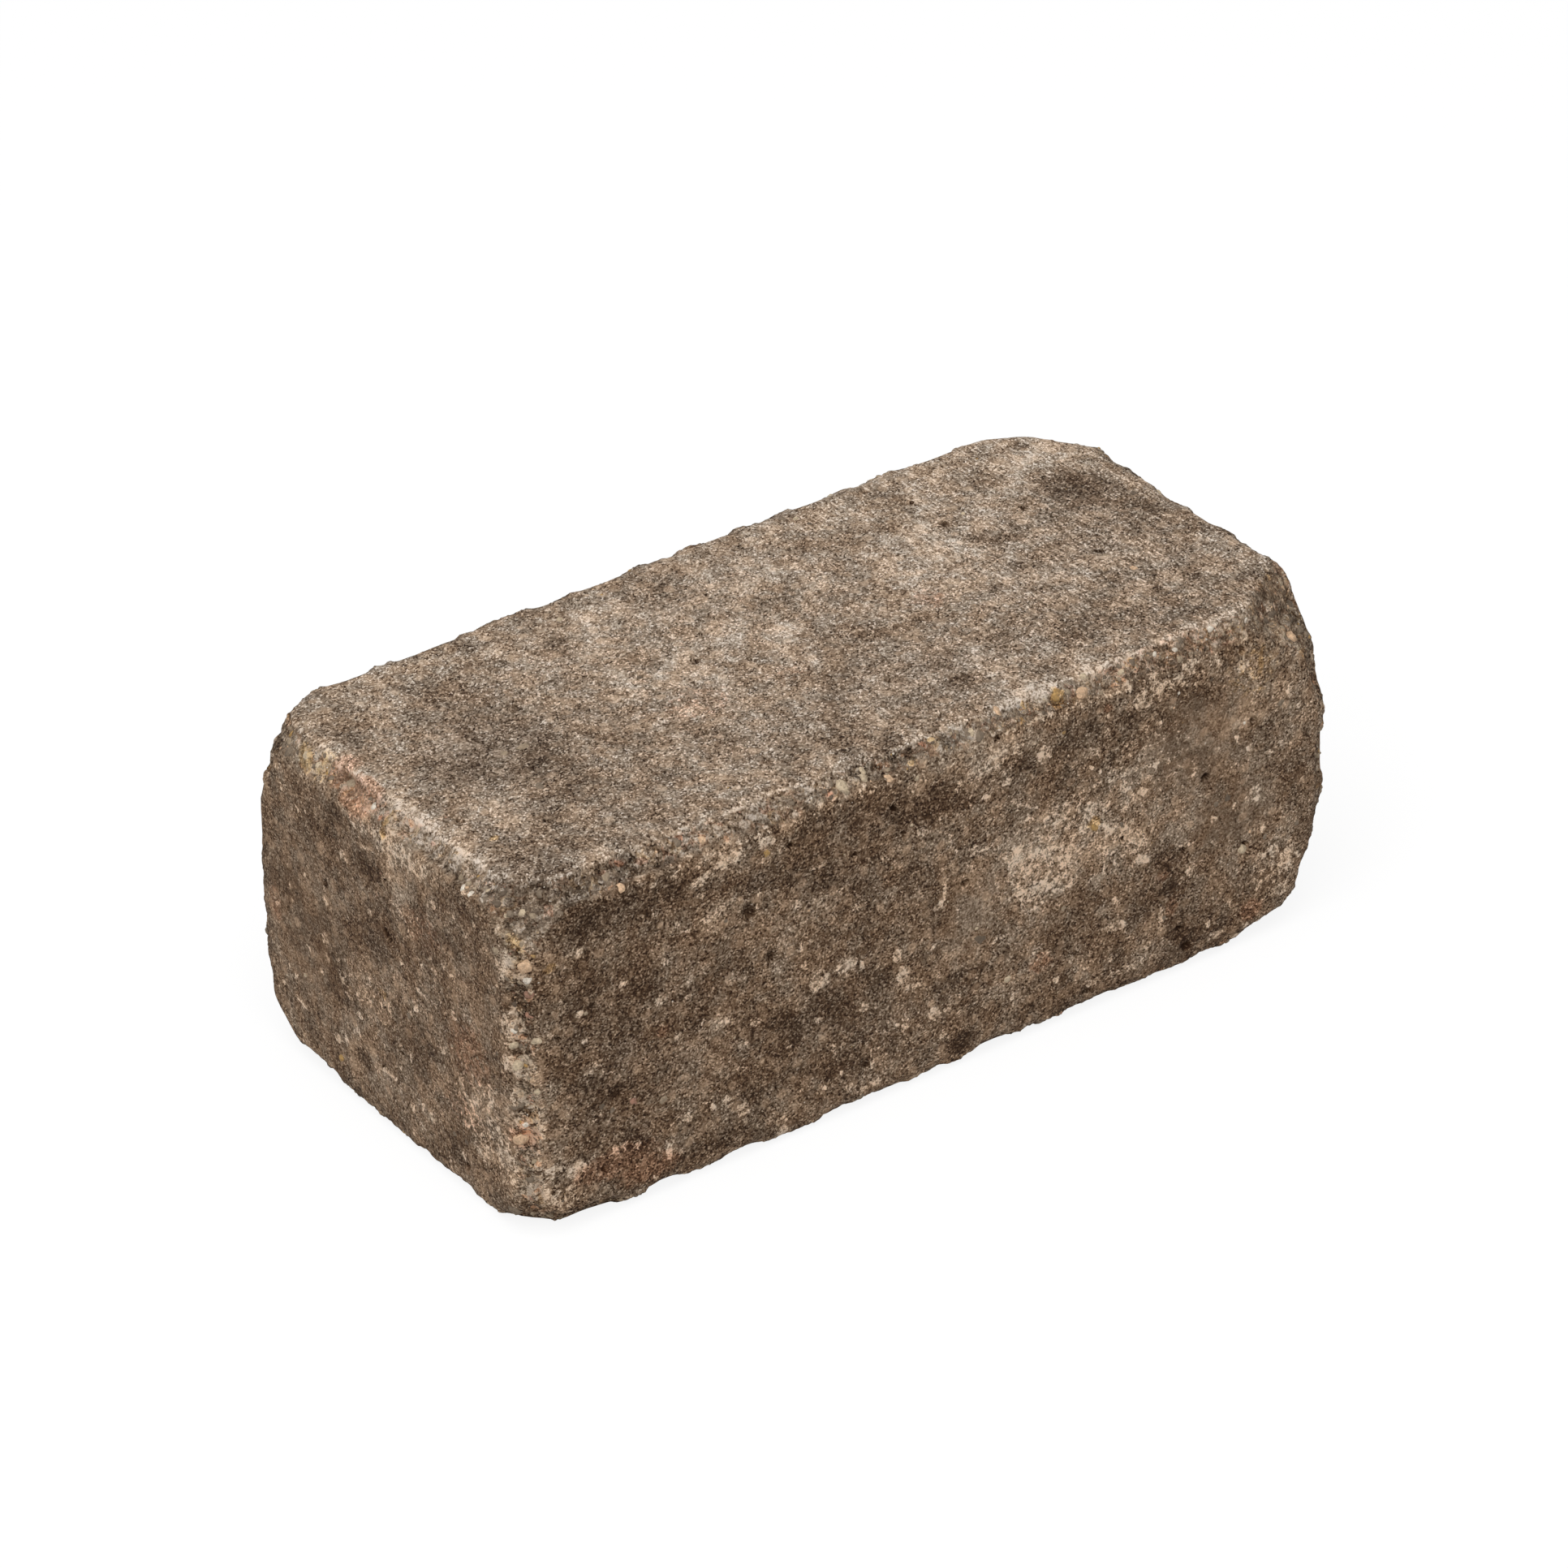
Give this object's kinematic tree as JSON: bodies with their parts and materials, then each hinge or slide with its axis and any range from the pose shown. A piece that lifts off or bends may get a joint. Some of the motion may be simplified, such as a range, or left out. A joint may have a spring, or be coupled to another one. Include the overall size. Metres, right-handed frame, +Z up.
{
  "type": "wall block",
  "caption": "Solid tumbled concrete wall block: a plain rectangular block with worn, chipped edges, broken corners and exposed aggregate.",
  "frame": {"origin": "middle of the bottom bed", "axes": "+X along the length, +Y from the show face to the back, +Z up"},
  "size_m": [0.3, 0.147, 0.117],
  "materials": {
    "concrete": "weathered brown-grey cast concrete, sandy and pitted, with pale worn edges"
  },
  "bodies": {
    "root": {"wall_block": "concrete"}
  },
  "joints": []
}
